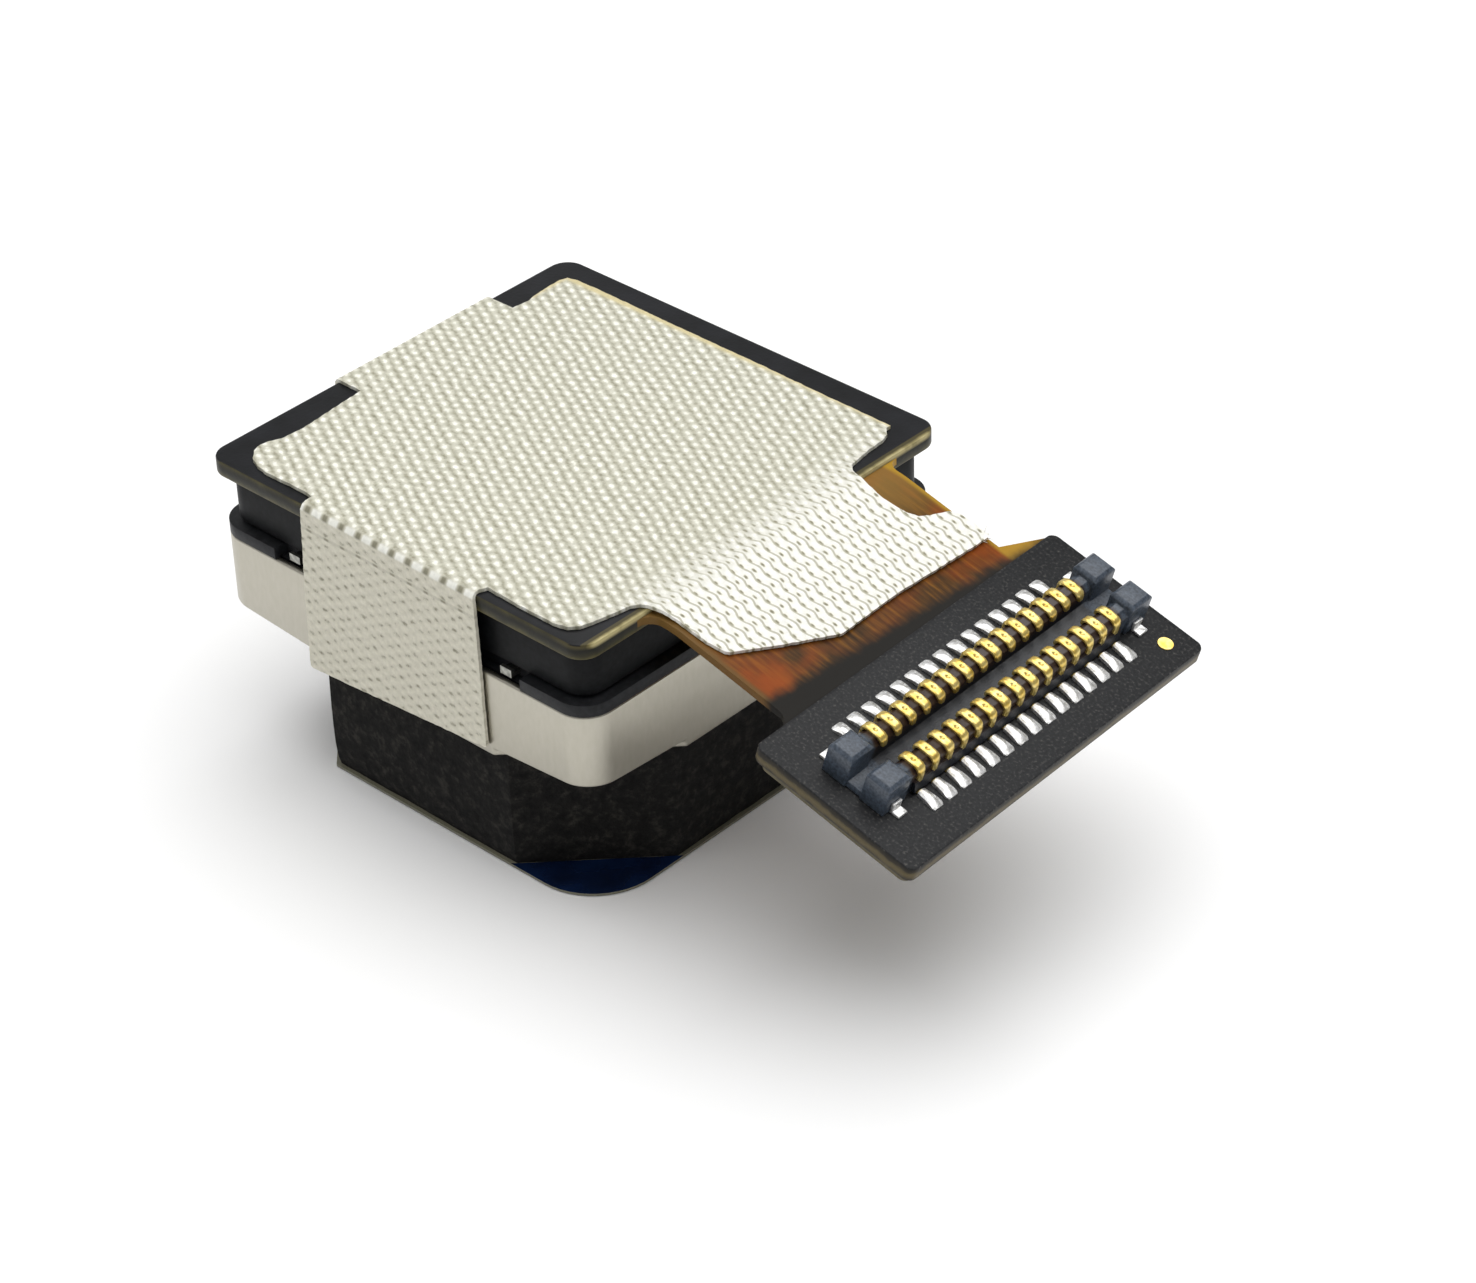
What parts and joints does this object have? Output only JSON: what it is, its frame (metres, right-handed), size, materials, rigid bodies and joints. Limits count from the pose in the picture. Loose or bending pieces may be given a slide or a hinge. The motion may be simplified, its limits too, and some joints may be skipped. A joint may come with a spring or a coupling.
{
  "type": "autofocus camera module",
  "caption": "Compact autofocus camera module, lens down on a foam gasket, with a metal-cloth tape over its board and a short flexible tail ending in a board-to-board plug.",
  "frame": {"origin": "on the lens axis, at the plane on which the module stands lens down", "axes": "+X along the flexible tail away from the module, +Y along the connector's rows, +Z from the lens side to the back of the board"},
  "size_m": [0.0168, 0.0097, 0.0064],
  "materials": {
    "tape_fabric": "satin woven metallised polyester",
    "board_mask": "matt black solder mask",
    "polyimide": "glossy amber film",
    "stiffener_laminate": "matt laminate",
    "gold": "polished gold plating",
    "plug_plastic": "satin moulding",
    "solder": "bright tin",
    "module_plastic": "satin moulding",
    "nickel_silver": "satin stamped sheet",
    "filter_glass": "coated and polished",
    "silicon": "polished",
    "capacitor_ceramic": "fired ceramic",
    "magnet_nickel": "nickel plating",
    "spring_copper": "etched copper alloy sheet",
    "carrier_plastic": "satin moulding",
    "coil_copper": "enamelled winding",
    "barrel_plastic": "matt moulding",
    "lens_plastic": "coated optical plastic",
    "foam": "open-cell foam",
    "film": "glossy film"
  },
  "bodies": {
    "module": {"fabric_tape": "tape_fabric", "main_board": "board_mask", "connector_board": "board_mask", "flex_tail": "polyimide", "connector_stiffener": "stiffener_laminate", "registration_mark": "gold", "plug_contacts": "gold", "bond_wires": "gold", "plug_housing": "plug_plastic", "solder_fillets": "solder", "hold_down_tabs": "solder", "sensor_holder": "module_plastic", "actuator_base": "module_plastic", "actuator_terminals": "solder", "actuator_can": "nickel_silver", "infrared_filter": "filter_glass", "image_sensor": "silicon", "board_capacitors": "capacitor_ceramic", "driver_chip": "silicon", "coil_magnets": "magnet_nickel", "spring_spacers": "module_plastic", "front_spring": "spring_copper", "rear_spring": "spring_copper", "foam_gasket": "foam", "release_film": "film"},
    "lens_unit": {"lens_carrier": "carrier_plastic", "voice_coil": "coil_copper", "lens_barrel": "barrel_plastic", "lens_element_1": "lens_plastic", "lens_element_2": "lens_plastic", "lens_element_3": "lens_plastic", "lens_element_4": "lens_plastic", "lens_element_5": "lens_plastic", "light_masks": "barrel_plastic", "lens_retainer": "barrel_plastic"}
  },
  "joints": [
    {"name": "focus_slide", "type": "slide", "parent": "module", "child": "lens_unit", "axis": [0, 0, -1], "range_m": [0, 0.0003], "stiffness_N_per_m": 30, "springref_m": -0.0001, "deforming": ["front_spring", "rear_spring"]}
  ]
}
